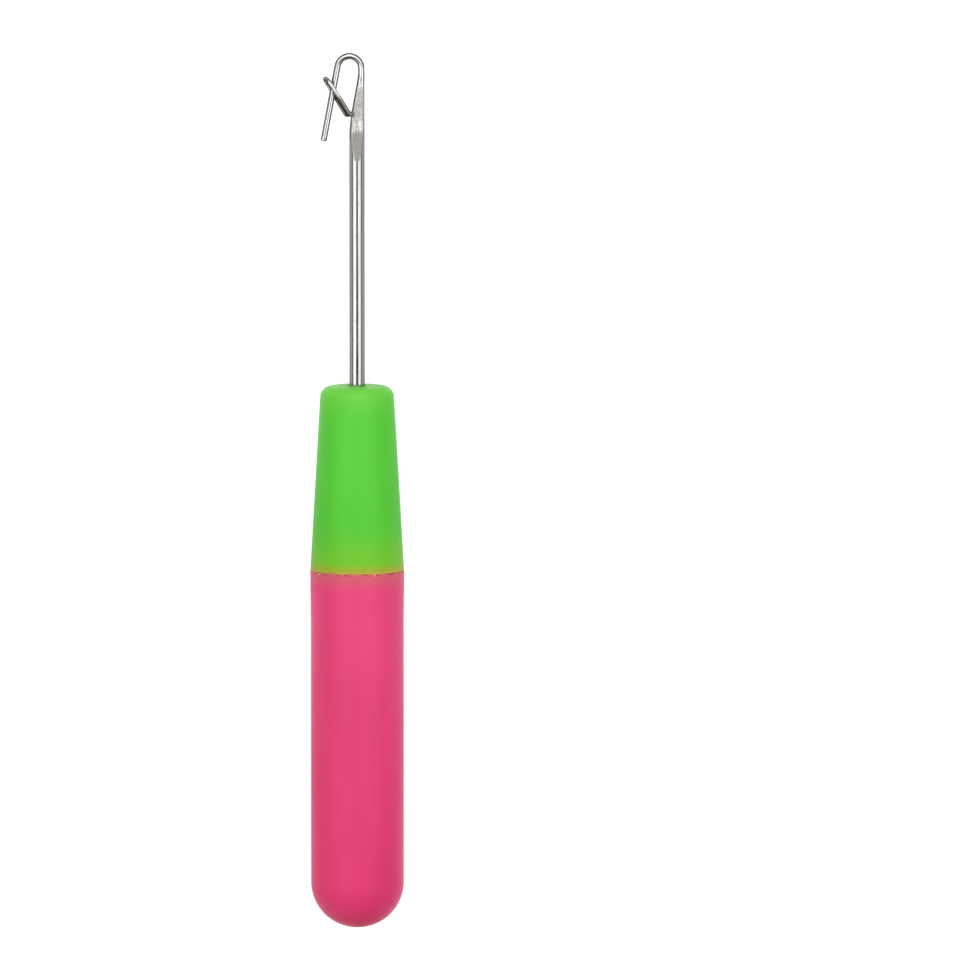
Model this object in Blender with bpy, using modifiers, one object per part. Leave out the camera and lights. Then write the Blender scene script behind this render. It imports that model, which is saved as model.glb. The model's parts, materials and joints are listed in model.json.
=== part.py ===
"""A latch hook, the crochet hook that pulls hair, yarn or cord through with a swinging latch.

It lies on its side: the handle's axis runs along Y with the hook's tip towards +Y, the open leg
of the hook is on the -X side, and the flats of the blade face up and down. Lengths are metres.
"""

from math import asin, atan, cos, hypot, pi, radians, sin, sqrt, tan

import bmesh
import bpy
from mathutils import Vector

# Grip: the rear, pink part of the handle
GRIP_LENGTH = 0.04837
GRIP_RADIUS = 0.00625
GRIP_RIM_RADIUS = 0.00632
GRIP_RIM_TAPER = 0.0075
GRIP_DOME_LENGTH = 0.0062
GRIP_EDGE_RADIUS = 0.00012

# Front cap: the green cone, with a spigot that plugs into the grip
CAP_LENGTH = 0.02483
CAP_FRONT_RADIUS = 0.00489
CAP_BACK_RADIUS = 0.00630
CAP_CORNER_RADIUS = 0.00145
CAP_EDGE_RADIUS = 0.00012
SPIGOT_LENGTH = 0.0110
SPIGOT_RADIUS = 0.0042
SPIGOT_CHAMFER = 0.0005

# Needle: the shaft, its tang inside the handle and its reach past the cap
SHAFT_RADIUS = 0.00102
NEEDLE_REACH = 0.04465
TANG_PAST_SPIGOT = 0.0060
TAIL_CHAMFER = 0.0003
WING_LENGTH = 0.0060
WING_RAMP_LENGTH = 0.0016
WING_HALF_SPAN = 0.0018
WING_HALF_THICKNESS = 0.0006

# Blade: pressed flat near the tip, with a slanting, rounded edge towards the leg
BLADE_HALF_THICKNESS = 0.00042
BLADE_FLAT_LENGTH = 0.0092
BLADE_RAMP_LENGTH = 0.0053
BLADE_NECK_LENGTH = 0.0029
BLADE_TAPER_LENGTH = 0.0076
BLADE_BELLY_SHARE = 0.55
BLADE_EDGE_ROUNDING = 0.00045
BLADE_EDGE_FADE = 0.0016
FADE_START = 0.0026
FADE_LENGTH = 0.0019

# Hook: the round wire that the blade runs out into
HOOK_WIRE_RADIUS = 0.00043
HOOK_BEND_RADIUS = 0.00160
LEG_LEAN = radians(10.6)
LEG_REACH = 0.01183
LEG_END_RADIUS = 0.00041
LEG_END_ROUNDING = 0.00016

# Latch: a closed link of thin wire that hangs in an eye where the blade's edge swells
LATCH_WIRE_RADIUS = 0.00029
LATCH_HINGE_RADIUS = 0.00020
LATCH_PIVOT_DEPTH = 0.00823
LATCH_PIVOT_INSET = 0.00037
EAR_SWELL = 0.00017
EAR_HALF_LENGTH = 0.00060
EAR_FULLNESS_SHARE = 0.5
LATCH_REST_ANGLE = radians(37.2)
LATCH_KNEE_ANGLE = radians(96)
LATCH_KNEE_REACH = 0.00062
LATCH_KNEE_BEND = 0.00030
LATCH_KNEE_TWIST = 0.00027
LATCH_END_TWIST = 0.00023
LATCH_HINGE_BEND = 0.00022
LATCH_THINNING = 0.00035

# Clearances
SEAM_GAP = 0.00005
SPIGOT_CLEARANCE = 0.0001
SPIGOT_END_CLEARANCE = 0.0003
BORE_CLEARANCE = 0.00005
TANG_CLEARANCE = 0.0001
TANG_END_CLEARANCE = 0.0003
HINGE_CLEARANCE = 0.00005
LATCH_SIDE_CLEARANCE = 0.00018
LATCH_END_CLEARANCE = 0.00012
CUT_OVERRUN = 0.0005

# Facets
TURNED_STEPS = 48
ARC_STEPS = 6
DOME_STEPS = 12
SECTION_SIDE_STEPS = 8
SECTION_FLAT_STEPS = 4
WING_STEPS = 4
RAMP_STEPS = 12
BLADE_STEPS = 22
BEND_STEPS = 18
HOLE_STEPS = 20
LINK_CORNER_STEPS = 6
LINK_SIDE_RESOLUTION = 4
MERGE_DISTANCE = 0.000001
SMOOTH_ANGLE = radians(35)

# Places along the handle, from the tail of the grip to the tip of the hook
HALF_STEP = pi / TURNED_STEPS
OVERALL_LENGTH = GRIP_LENGTH + SEAM_GAP + CAP_LENGTH + NEEDLE_REACH
TAIL_Y = -OVERALL_LENGTH / 2
SEAM_Y = TAIL_Y + GRIP_LENGTH
CAP_BACK_Y = SEAM_Y + SEAM_GAP
CAP_FRONT_Y = CAP_BACK_Y + CAP_LENGTH
AXIS_HEIGHT = max(GRIP_RIM_RADIUS, CAP_BACK_RADIUS) * cos(HALF_STEP)

# The angle at which a round section is divided into sides and flats
CORNER_ANGLE = pi * SECTION_SIDE_STEPS / (2 * (SECTION_SIDE_STEPS + SECTION_FLAT_STEPS))


def clear_scene():
    """Start from nothing, without closing the file this runs from."""
    for item in list(bpy.data.objects):
        bpy.data.objects.remove(item, do_unlink=True)


def new_collection(name):
    collection = bpy.data.collections.new(name)
    bpy.context.scene.collection.children.link(collection)
    return collection


def plain_material(name, colour, roughness, metallic):
    """One Principled BSDF with the colour and gloss of the real surface."""
    material = bpy.data.materials.new(name)
    material.use_nodes = True
    shader = material.node_tree.nodes["Principled BSDF"]
    shader.inputs["Base Color"].default_value = (*colour, 1)
    shader.inputs["Roughness"].default_value = roughness
    shader.inputs["Metallic"].default_value = metallic
    return material


def finish_part(part, collection, material):
    """Link a part into its collection and shade it smooth between its sharp edges."""
    collection.objects.link(part)
    part.data.materials.append(material)
    part.data.shade_smooth()
    part.data.set_sharp_from_angle(angle=SMOOTH_ANGLE)
    return part


def as_cutter(cutter, collection):
    collection.objects.link(cutter)
    cutter.hide_render = True
    cutter.display_type = "WIRE"
    return cutter


def cut(part, cutter):
    modifier = part.modifiers.new("cut_" + cutter.name, "BOOLEAN")
    modifier.operation = "DIFFERENCE"
    modifier.solver = "EXACT"
    modifier.object = cutter


def smooth_share(share):
    """0 below 0, 1 above 1, and an even S-curve between."""
    share = min(max(share, 0), 1)
    return share * share * (3 - 2 * share)


def spread(start, end, steps):
    """The places of a stretch in even steps, without its end."""
    return [start + (end - start) * step / steps for step in range(steps)]


def arc(centre, radius, start, end, steps, height=None):
    """Points on an arc of a profile, both ends included; height makes it part of an ellipse."""
    height = radius if height is None else height
    angles = spread(start, end, steps) + [end]
    return [(centre[0] + radius * cos(a), centre[1] + height * sin(a)) for a in angles]


def turned(name, profile, is_ring):
    """Turn a profile of (radius, height) points round Z; it runs down its outer side."""
    points = [(radius, 0, height) for radius, height in profile]
    edges = [(step, step + 1) for step in range(len(points) - 1)]
    if is_ring:
        edges.append((len(points) - 1, 0))
    mesh = bpy.data.meshes.new(name)
    mesh.from_pydata(points, edges, [])
    turned_part = bpy.data.objects.new(name, mesh)
    screw = turned_part.modifiers.new("turn", "SCREW")
    screw.steps = TURNED_STEPS
    screw.render_steps = TURNED_STEPS
    screw.use_merge_vertices = True
    screw.merge_threshold = MERGE_DISTANCE
    return turned_part


def lay_along_y(part, y):
    """Turn a part that stands on Z so that it lies along Y, on a facet, on the tool's axis."""
    part.rotation_euler = (-pi / 2, HALF_STEP, 0)
    part.location = (0, y, AXIS_HEIGHT)


def grip_profile():
    """From the bottom of the tang's bore, out of the mouth, down the side and round the dome."""
    bore = SPIGOT_RADIUS + SPIGOT_CLEARANCE
    bore_floor = -SPIGOT_LENGTH - SPIGOT_END_CLEARANCE
    tang_bore = SHAFT_RADIUS + TANG_CLEARANCE
    tang_floor = -SPIGOT_LENGTH - TANG_PAST_SPIGOT - TANG_END_CLEARANCE
    dome_base = GRIP_DOME_LENGTH - GRIP_LENGTH
    rim_corner = (GRIP_RIM_RADIUS - GRIP_EDGE_RADIUS, -GRIP_EDGE_RADIUS)
    profile = [(0, tang_floor), (tang_bore, tang_floor), (tang_bore, bore_floor)]
    profile += [(bore, bore_floor), (bore, -SPIGOT_CHAMFER), (bore + SPIGOT_CHAMFER, 0)]
    profile += arc(rim_corner, GRIP_EDGE_RADIUS, pi / 2, 0, ARC_STEPS // 2)
    for place in spread(0, 1, ARC_STEPS)[1:]:
        radius = GRIP_RIM_RADIUS + (GRIP_RADIUS - GRIP_RIM_RADIUS) * smooth_share(place)
        profile.append((radius, -GRIP_EDGE_RADIUS - GRIP_RIM_TAPER * place))
    profile.append((GRIP_RADIUS, -GRIP_EDGE_RADIUS - GRIP_RIM_TAPER))
    dome = arc((0, dome_base), GRIP_RADIUS, 0, -pi / 2, DOME_STEPS, GRIP_DOME_LENGTH)
    return profile + dome[:-1] + [(0, -GRIP_LENGTH)]


def build_grip(collection, material):
    grip = turned("grip", grip_profile(), is_ring=False)
    lay_along_y(grip, SEAM_Y)
    return finish_part(grip, collection, material)


def cap_profile():
    """A closed ring: up the bore, across the flat front, down the cone and round the spigot."""
    bore = SHAFT_RADIUS + BORE_CLEARANCE
    slope = atan((CAP_BACK_RADIUS - CAP_FRONT_RADIUS) / CAP_LENGTH)
    corner_height = CAP_LENGTH - CAP_CORNER_RADIUS
    side_at_corner = CAP_FRONT_RADIUS + CAP_CORNER_RADIUS * tan(slope)
    corner = (side_at_corner - CAP_CORNER_RADIUS / cos(slope), corner_height)
    back_corner = (CAP_BACK_RADIUS - CAP_EDGE_RADIUS, CAP_EDGE_RADIUS)
    profile = [(bore, -SPIGOT_LENGTH), (bore, CAP_LENGTH)]
    profile += arc(corner, CAP_CORNER_RADIUS, pi / 2, slope, ARC_STEPS + 2)
    profile += arc(back_corner, CAP_EDGE_RADIUS, slope, -pi / 2, ARC_STEPS // 2)
    profile += [(SPIGOT_RADIUS, 0), (SPIGOT_RADIUS, SPIGOT_CHAMFER - SPIGOT_LENGTH)]
    profile.append((SPIGOT_RADIUS - SPIGOT_CHAMFER, -SPIGOT_LENGTH))
    return profile


def wing_slot(collection):
    """The pocket that holds the tang's flattened wings, open towards the back of the spigot."""
    half_span = WING_HALF_SPAN + TANG_CLEARANCE
    half_height = WING_HALF_THICKNESS + TANG_CLEARANCE
    front = -(SPIGOT_LENGTH - WING_LENGTH) / 2 + TANG_CLEARANCE
    back = -SPIGOT_LENGTH - CUT_OVERRUN
    shape = bmesh.new()
    bmesh.ops.create_cube(shape, size=1)
    bmesh.ops.scale(shape, vec=(2 * half_span, front - back, 2 * half_height), verts=shape.verts)
    mesh = bpy.data.meshes.new("wing_slot")
    shape.to_mesh(mesh)
    shape.free()
    slot = bpy.data.objects.new("wing_slot", mesh)
    slot.location = (0, CAP_BACK_Y + (front + back) / 2, AXIS_HEIGHT)
    return as_cutter(slot, collection)


def build_front_cap(collection, cutters, material):
    cap = turned("front_cap", cap_profile(), is_ring=True)
    lay_along_y(cap, CAP_BACK_Y)
    cut(cap, wing_slot(cutters))
    return finish_part(cap, collection, material)


def half_thickness(below_tip):
    """The pressed flats rise along a straight ramp until the round shaft takes over."""
    rise = min(max((below_tip - BLADE_FLAT_LENGTH) / BLADE_RAMP_LENGTH, 0), 1)
    return BLADE_HALF_THICKNESS + (SHAFT_RADIUS - BLADE_HALF_THICKNESS) * rise


def ear(below_tip):
    """1 at the latch's eye, fading to 0 on both sides of it."""
    place = min(abs(below_tip - LATCH_PIVOT_DEPTH) / EAR_HALF_LENGTH, 1)
    return (1 - place * place) ** 2


def left_edge(below_tip):
    """The blade's edge towards the leg: it slants out from the wire's width and swells at the eye."""
    neck = SHAFT_RADIUS - 2 * HOOK_WIRE_RADIUS
    share = min(max((below_tip - BLADE_NECK_LENGTH) / BLADE_TAPER_LENGTH, 0), 1)
    share += BLADE_BELLY_SHARE * share * share * (1 - share)
    return neck - (SHAFT_RADIUS + neck) * share - EAR_SWELL * ear(below_tip)


def edge_rounding(below_tip):
    """How far the rounding of the left edge reaches in over the flats."""
    taper_end = BLADE_NECK_LENGTH + BLADE_TAPER_LENGTH
    growth = smooth_share((below_tip - BLADE_NECK_LENGTH) / BLADE_TAPER_LENGTH)
    growth *= 1 - smooth_share((below_tip - taper_end) / BLADE_EDGE_FADE)
    return BLADE_EDGE_ROUNDING * growth * (1 - EAR_FULLNESS_SHARE * ear(below_tip))


def circle_section(centre, across, height):
    """A round or oval section, as (x, z) points from the lower end of its right side."""
    side = spread(-CORNER_ANGLE, CORNER_ANGLE, SECTION_SIDE_STEPS)
    top = spread(CORNER_ANGLE, pi - CORNER_ANGLE, SECTION_FLAT_STEPS)
    angles = side + top
    angles += [angle + pi for angle in angles]
    return [(centre + across * cos(angle), height * sin(angle)) for angle in angles]


def flat_section(thickness, left, rounding):
    """The round shaft cut by two flats and, on the left, by the blade's slanting rounded edge."""
    corner = min(asin(min(thickness / SHAFT_RADIUS, 1)), CORNER_ANGLE)
    right_x = SHAFT_RADIUS * cos(corner)
    left_x = max(-right_x, left + rounding)
    side_angles = spread(-corner, corner, SECTION_SIDE_STEPS)
    side = [(SHAFT_RADIUS * cos(angle), SHAFT_RADIUS * sin(angle)) for angle in side_angles]
    top = []
    for angle in spread(CORNER_ANGLE, pi - CORNER_ANGLE, SECTION_FLAT_STEPS):
        share = (1 - cos(angle) / cos(CORNER_ANGLE)) / 2
        x = right_x + (left_x - right_x) * share
        top.append((x, min(thickness, sqrt(SHAFT_RADIUS ** 2 - x ** 2))))
    end = (left_x, min(thickness, sqrt(SHAFT_RADIUS ** 2 - left_x ** 2)))
    other = [end]
    for x, z in side[1:]:
        bulge = sqrt(max(1 - (z / end[1]) ** 2, 0))
        other.append((max(-x, left + rounding * (1 - bulge)), -z))
    bottom = [(x, -z) for x, z in top[1:]][::-1]
    return side + top + other + [(left_x, -end[1])] + bottom


def straight_section(below_tip):
    """The needle's section anywhere on its straight stretch, from the tail to the hook's bend."""
    wire = circle_section(SHAFT_RADIUS - HOOK_WIRE_RADIUS, HOOK_WIRE_RADIUS, HOOK_WIRE_RADIUS)
    flat = flat_section(half_thickness(below_tip), left_edge(below_tip), edge_rounding(below_tip))
    share = smooth_share((below_tip - FADE_START) / FADE_LENGTH)
    return [(a + (c - a) * share, b + (d - b) * share) for (a, b), (c, d) in zip(wire, flat)]


def wing_section(place):
    """The tang at a place along its wings, where 0 is round and 1 is fully flattened."""
    share = smooth_share(place)
    across = SHAFT_RADIUS + (WING_HALF_SPAN - SHAFT_RADIUS) * share
    height = SHAFT_RADIUS + (WING_HALF_THICKNESS - SHAFT_RADIUS) * share
    return circle_section(0, across, height)


def tang_rings():
    """Rings from the chamfered tail over the wings; Y counts from the front of the cap."""
    tail = -CAP_LENGTH - SPIGOT_LENGTH - TANG_PAST_SPIGOT
    back = -CAP_LENGTH - (SPIGOT_LENGTH + WING_LENGTH) / 2
    front = back + WING_LENGTH
    rings = [(tail, circle_section(0, SHAFT_RADIUS - TAIL_CHAMFER, SHAFT_RADIUS - TAIL_CHAMFER))]
    rings.append((tail + TAIL_CHAMFER, wing_section(0)))
    for place in spread(0, 1, WING_STEPS):
        rings.append((back + WING_RAMP_LENGTH * place, wing_section(place)))
    rings.append((back + WING_RAMP_LENGTH, wing_section(1)))
    for place in spread(1, 0, WING_STEPS):
        rings.append((front - WING_RAMP_LENGTH * place, wing_section(place)))
    rings.append((front, wing_section(0)))
    return [[Vector((x, y, z)) for x, z in section] for y, section in rings]


def head_rings():
    """Rings up the shaft's ramp and the blade, as far as the start of the hook's bend."""
    ramp_end = BLADE_FLAT_LENGTH + BLADE_RAMP_LENGTH
    bend_start = HOOK_BEND_RADIUS + HOOK_WIRE_RADIUS
    places = spread(ramp_end, BLADE_FLAT_LENGTH, RAMP_STEPS)
    places += spread(BLADE_FLAT_LENGTH, FADE_START, BLADE_STEPS)
    places += [FADE_START, bend_start]
    rings = []
    for place in places:
        section = straight_section(place)
        rings.append([Vector((x, NEEDLE_REACH - place, z)) for x, z in section])
    return rings


def wire_ring(centre, outward, radius):
    """A round ring of the hook's wire, square to the wire, in the needle's own frame."""
    section = circle_section(0, radius, radius)
    return [centre + outward * x + Vector((0, 0, z)) for x, z in section]


def bend_centre():
    bend_y = NEEDLE_REACH - HOOK_BEND_RADIUS - HOOK_WIRE_RADIUS
    return Vector((SHAFT_RADIUS - HOOK_WIRE_RADIUS - HOOK_BEND_RADIUS, bend_y, 0))


def leg_line():
    """The leg's start, its direction towards its end, and its outward side."""
    outward = Vector((-cos(LEG_LEAN), sin(LEG_LEAN), 0))
    along = Vector((-sin(LEG_LEAN), -cos(LEG_LEAN), 0))
    return bend_centre() + outward * HOOK_BEND_RADIUS, along, outward


def leg_length():
    start, along, outward = leg_line()
    return (NEEDLE_REACH - LEG_REACH - start.y) / along.y


def hook_rings():
    """Rings round the bend and down the leg to its rounded end."""
    rings = []
    for angle in spread(0, pi - LEG_LEAN, BEND_STEPS)[1:]:
        outward = Vector((cos(angle), sin(angle), 0))
        rings.append(wire_ring(bend_centre() + outward * HOOK_BEND_RADIUS, outward, HOOK_WIRE_RADIUS))
    start, along, outward = leg_line()
    rings.append(wire_ring(start, outward, HOOK_WIRE_RADIUS))
    shoulder = leg_length() - LEG_END_ROUNDING
    for angle in spread(0, pi / 2, ARC_STEPS // 2) + [pi / 2]:
        centre = start + along * (shoulder + LEG_END_ROUNDING * sin(angle))
        radius = LEG_END_RADIUS - LEG_END_ROUNDING * (1 - cos(angle))
        rings.append(wire_ring(centre, outward, radius))
    return rings


def loft(name, rings):
    """Skin a row of rings that have the same number of points, and close both ends."""
    shape = bmesh.new()
    skin = [[shape.verts.new(point) for point in ring] for ring in rings]
    count = len(skin[0])
    for near, far in zip(skin, skin[1:]):
        for step in range(count):
            following = (step + 1) % count
            shape.faces.new((near[step], near[following], far[following], far[step]))
    shape.faces.new(skin[0])
    shape.faces.new(skin[-1])
    bmesh.ops.recalc_face_normals(shape, faces=shape.faces)
    mesh = bpy.data.meshes.new(name)
    shape.to_mesh(mesh)
    shape.free()
    return bpy.data.objects.new(name, mesh)


def pivot_place():
    """The centre of the latch's hole, in the needle's own frame."""
    x = left_edge(LATCH_PIVOT_DEPTH) + LATCH_PIVOT_INSET
    return Vector((x, NEEDLE_REACH - LATCH_PIVOT_DEPTH, 0))


def hinge_hole(collection):
    shape = bmesh.new()
    radius = LATCH_HINGE_RADIUS + HINGE_CLEARANCE
    depth = 2 * (BLADE_HALF_THICKNESS + CUT_OVERRUN)
    bmesh.ops.create_cone(
        shape, cap_ends=True, segments=HOLE_STEPS, radius1=radius, radius2=radius, depth=depth
    )
    mesh = bpy.data.meshes.new("hinge_hole")
    shape.to_mesh(mesh)
    shape.free()
    hole = bpy.data.objects.new("hinge_hole", mesh)
    hole.location = pivot_place() + Vector((0, CAP_FRONT_Y, AXIS_HEIGHT))
    return as_cutter(hole, collection)


def build_needle(collection, cutters, material):
    needle = loft("needle", tang_rings() + head_rings() + hook_rings())
    needle.location = (0, CAP_FRONT_Y, AXIS_HEIGHT)
    cut(needle, hinge_hole(cutters))
    return finish_part(needle, collection, material)


def latch_reach():
    """From the pivot to the far end of the link, which passes outside the leg as it swings."""
    start, along, outward = leg_line()
    pivot = pivot_place()
    corner = start + along * leg_length() + outward * LEG_END_RADIUS - pivot
    rest = Vector((-sin(LATCH_REST_ANGLE), cos(LATCH_REST_ANGLE), 0))
    to_side = (start + outward * HOOK_WIRE_RADIUS - pivot).dot(outward) / rest.dot(outward)
    return max(corner.length, to_side) + LATCH_END_CLEARANCE + LATCH_WIRE_RADIUS


def latch_corners():
    """The link's centre line as a slightly twisted loop of six sharp corners, from its pivot."""
    thickest = max(HOOK_WIRE_RADIUS, BLADE_HALF_THICKNESS)
    half_gap = thickest + LATCH_SIDE_CLEARANCE + LATCH_WIRE_RADIUS
    end = Vector((-sin(LATCH_REST_ANGLE), cos(LATCH_REST_ANGLE), 0)) * latch_reach()
    knee = Vector((-sin(LATCH_KNEE_ANGLE), cos(LATCH_KNEE_ANGLE), 0)) * LATCH_KNEE_REACH
    up = Vector((0, 0, half_gap))
    across = Vector((cos(LATCH_REST_ANGLE), sin(LATCH_REST_ANGLE), 0))
    knee_up = up + across * LATCH_KNEE_TWIST
    end_up = up + across * LATCH_END_TWIST
    upper = [(up, LATCH_HINGE_BEND), (knee + knee_up, LATCH_KNEE_BEND), (end + end_up, half_gap)]
    lower = [(end - end_up, half_gap), (knee - knee_up, LATCH_KNEE_BEND), (-up, LATCH_HINGE_BEND)]
    return upper + lower


def rounded_corner(before, corner, after, radius):
    """The arc that rounds one corner of a wire, by its own bend radius."""
    back = (before - corner).normalized()
    ahead = (after - corner).normalized()
    half_angle = back.angle(ahead) / 2
    centre = corner + (back + ahead).normalized() * (radius / sin(half_angle))
    start = corner + back * (radius / tan(half_angle)) - centre
    end = corner + ahead * (radius / tan(half_angle)) - centre
    sweep = start.angle(end)
    points = []
    for step in range(LINK_CORNER_STEPS + 1):
        turn = sweep * step / LINK_CORNER_STEPS
        mixed = start * sin(sweep - turn) + end * sin(turn)
        points.append(centre + mixed / sin(sweep))
    return points


def latch_path():
    corners = latch_corners()
    path = []
    for step, (corner, radius) in enumerate(corners):
        before = corners[step - 1][0]
        after = corners[(step + 1) % len(corners)][0]
        path += rounded_corner(before, corner, after, radius)
    gaps = [(point - path[step - 1]).length for step, point in enumerate(path)]
    return [point for point, gap in zip(path, gaps) if gap > MERGE_DISTANCE]


def wire_thickness(place):
    """The wire's radius, which is thinned where it bends into the blade's eye."""
    share = smooth_share((hypot(place.x, place.y) - LATCH_HINGE_RADIUS) / LATCH_THINNING)
    return LATCH_HINGE_RADIUS + (LATCH_WIRE_RADIUS - LATCH_HINGE_RADIUS) * share


def build_latch(collection, material):
    """A closed wire: through the blade's eye, over both flats and round the leg."""
    curve = bpy.data.curves.new("latch_wire", "CURVE")
    curve.dimensions = "3D"
    curve.bevel_depth = LATCH_WIRE_RADIUS
    curve.bevel_resolution = LINK_SIDE_RESOLUTION
    path = latch_path()
    spline = curve.splines.new("POLY")
    spline.points.add(len(path) - 1)
    for point, place in zip(spline.points, path):
        point.co = (*place, 1)
        point.radius = wire_thickness(place) / LATCH_WIRE_RADIUS
    spline.use_cyclic_u = True
    wire = bpy.data.objects.new("latch_wire", curve)
    collection.objects.link(wire)
    graph = bpy.context.evaluated_depsgraph_get()
    mesh = bpy.data.meshes.new_from_object(wire.evaluated_get(graph))
    bpy.data.objects.remove(wire, do_unlink=True)
    latch = bpy.data.objects.new("latch", mesh)
    latch.location = pivot_place() + Vector((0, CAP_FRONT_Y, AXIS_HEIGHT))
    return finish_part(latch, collection, material)


def main():
    clear_scene()
    parts = new_collection("latch_hook")
    cutters = new_collection("cutters")
    pink = plain_material("pink_plastic", (0.80, 0.07, 0.20), 0.35, 0)
    green = plain_material("green_plastic", (0.13, 0.62, 0.06), 0.35, 0)
    steel = plain_material("polished_steel", (0.62, 0.61, 0.59), 0.18, 1)
    build_grip(parts, pink)
    build_front_cap(parts, cutters, green)
    build_needle(parts, cutters, steel)
    build_latch(parts, steel)
    pivot = pivot_place() + Vector((0, CAP_FRONT_Y, AXIS_HEIGHT))
    print("overall length", round(OVERALL_LENGTH, 6))
    print("latch pivot", [round(value, 6) for value in pivot], "reach", round(latch_reach(), 6))
    print("cap front at y", round(CAP_FRONT_Y, 6), "axis height", round(AXIS_HEIGHT, 6))


main()
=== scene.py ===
# %% [markdown]
# # A latch hook on a white table
# The tool is a crochet hook with a swinging latch: a pink and green moulded handle, a steel
# needle pressed flat near its tip and bent into a hook, and a thin wire link that closes the hook.
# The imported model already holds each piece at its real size. This lesson makes the fine surfaces
# over it, in the same place, and then lights and frames them. Loading the model comes first,
# because every piece below takes its place from it.

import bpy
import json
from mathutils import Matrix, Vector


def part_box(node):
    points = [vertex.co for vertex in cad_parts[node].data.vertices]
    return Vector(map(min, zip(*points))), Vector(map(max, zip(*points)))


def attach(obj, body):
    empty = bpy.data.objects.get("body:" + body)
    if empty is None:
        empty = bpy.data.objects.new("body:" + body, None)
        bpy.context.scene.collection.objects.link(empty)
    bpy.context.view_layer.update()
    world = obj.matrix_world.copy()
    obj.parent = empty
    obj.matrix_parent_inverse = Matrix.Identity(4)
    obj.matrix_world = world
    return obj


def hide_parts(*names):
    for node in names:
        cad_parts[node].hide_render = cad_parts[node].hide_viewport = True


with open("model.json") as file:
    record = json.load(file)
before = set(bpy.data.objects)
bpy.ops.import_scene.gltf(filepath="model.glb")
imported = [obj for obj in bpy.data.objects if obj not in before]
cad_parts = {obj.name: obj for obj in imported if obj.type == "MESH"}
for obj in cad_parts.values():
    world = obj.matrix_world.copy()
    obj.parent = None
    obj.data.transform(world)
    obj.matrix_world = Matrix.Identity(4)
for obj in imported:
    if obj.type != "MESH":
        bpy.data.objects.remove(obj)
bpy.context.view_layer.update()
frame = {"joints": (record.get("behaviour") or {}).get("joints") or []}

# %% [markdown]
# The script needs a few helpers from Blender and from Python. All lengths are metres, so one
# named millimetre keeps the small sizes of this tool easy to read.

# %% Imports and units
import json
from math import atan, cos, hypot, pi, radians, sin, sqrt, tan

import bmesh
import bpy
from mathutils import Matrix, Vector, noise
from mathutils.kdtree import KDTree

MM = 0.001
scene = bpy.context.scene
scene.view_settings.view_transform = "Standard"
print("one millimetre is", MM, "units")

# %% [markdown]
# ## Where the tool lies
# The handle's axis runs along Y, with the hook towards +Y. The places along it are read from the
# imported nodes: the tail, the seam between the two plastics, the cap's flat front and the hook's
# tip. Reading them here means that no piece has to be fitted by eye afterwards. The grip's rim
# stays half a micrometre inside the imported grip.

# %% Places along the handle
BOX_ROOM = 0.0005 * MM

grip_low, grip_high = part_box("grip")
cap_low, cap_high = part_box("front_cap")
needle_low, needle_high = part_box("needle")
tail_y, seam_y = grip_low.y, grip_high.y
spigot_y, cap_front_y = cap_low.y, cap_high.y
tip_y = needle_high.y
rim_radius = (grip_high.x - grip_low.x) / 2 - BOX_ROOM
axis_z = (grip_high.z + grip_low.z) / 2
latch_pivot = Vector(frame["joints"][0]["pos_m"])
print("tail", tail_y, "seam", seam_y, "cap front", cap_front_y, "tip", tip_y)
print("rim radius", rim_radius, "axis height", axis_z, "latch pivot", latch_pivot)

# %% [markdown]
# ## The camera
# The photograph is taken from far above with a long lens, so nothing narrows with distance. The
# camera leans a little towards the tip, which is why the seam looks curved and the cap's front
# shows. A perspective camera two metres away with a 600 mm lens gives that flat look. The tool
# lies left of the middle, so the camera aims beside it, and no lens shift is needed.

# %% Set up the camera
VIEW_TILT = radians(5.8)
VIEW_DISTANCE = 2147 * MM
AIM_BESIDE = 16.48 * MM
AIM_TOWARDS_TIP = 1.5 * MM
LENS_LENGTH = 600
FILM_WIDTH = 36

towards_camera = Vector((0, sin(VIEW_TILT), cos(VIEW_TILT)))
picture_right = Vector((1, 0, 0))


def turned_towards(back, right):
    """The rotation of a camera, lamp or card whose back and right side point these ways."""
    return Matrix((right, back.cross(right), back)).transposed().to_euler()


lens = bpy.data.cameras.new("table_camera")
lens.lens = LENS_LENGTH
lens.sensor_width = FILM_WIDTH
lens.clip_start = 50 * MM
lens.clip_end = 20
camera = bpy.data.objects.new("table_camera", lens)
camera.location = Vector((AIM_BESIDE, AIM_TOWARDS_TIP, axis_z)) + towards_camera * VIEW_DISTANCE
camera.rotation_euler = turned_towards(towards_camera, picture_right)
scene.collection.objects.link(camera)
scene.camera = camera
print("camera at", camera.location)

# %% [markdown]
# ## Turning the handle
# Both plastics are round mouldings, so each is one profile of (radius, place along the axis)
# turned round the needle's axis. A Screw modifier would do it, but turning the points in a short
# loop leaves room for what a mould leaves behind: each point may be moved a few hundredths of a
# millimetre by a function of its angle, so that lips and edges aren't perfectly true.

# %% Helpers for turned pieces
TURN_STEPS = 144
MERGE_DISTANCE = 0.0001 * MM
SHARP_ANGLE = radians(50)


def smooth_share(share):
    """0 below 0, 1 above 1, and an even S-curve between."""
    share = min(max(share, 0), 1)
    return share * share * (3 - 2 * share)


def spread(start, end, steps):
    """The places of a stretch in even steps, without its end."""
    return [start + (end - start) * step / steps for step in range(steps)]


def arc(centre, radius, start, end, steps, along=None):
    """Points on an arc of a profile; along makes it part of an ellipse."""
    along = radius if along is None else along
    angles = spread(start, end, steps) + [end]
    return [(centre[0] + radius * cos(a), centre[1] + along * sin(a)) for a in angles]


def ring_noise(angle, waves, layer):
    """Noise round a turned piece: more waves make it finer, and each layer is another pattern."""
    return noise.noise(Vector((waves * cos(angle), waves * sin(angle), layer)))


def still(radius, y, angle):
    """The plain turning, which leaves every point where the profile has it."""
    return radius, y


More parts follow.
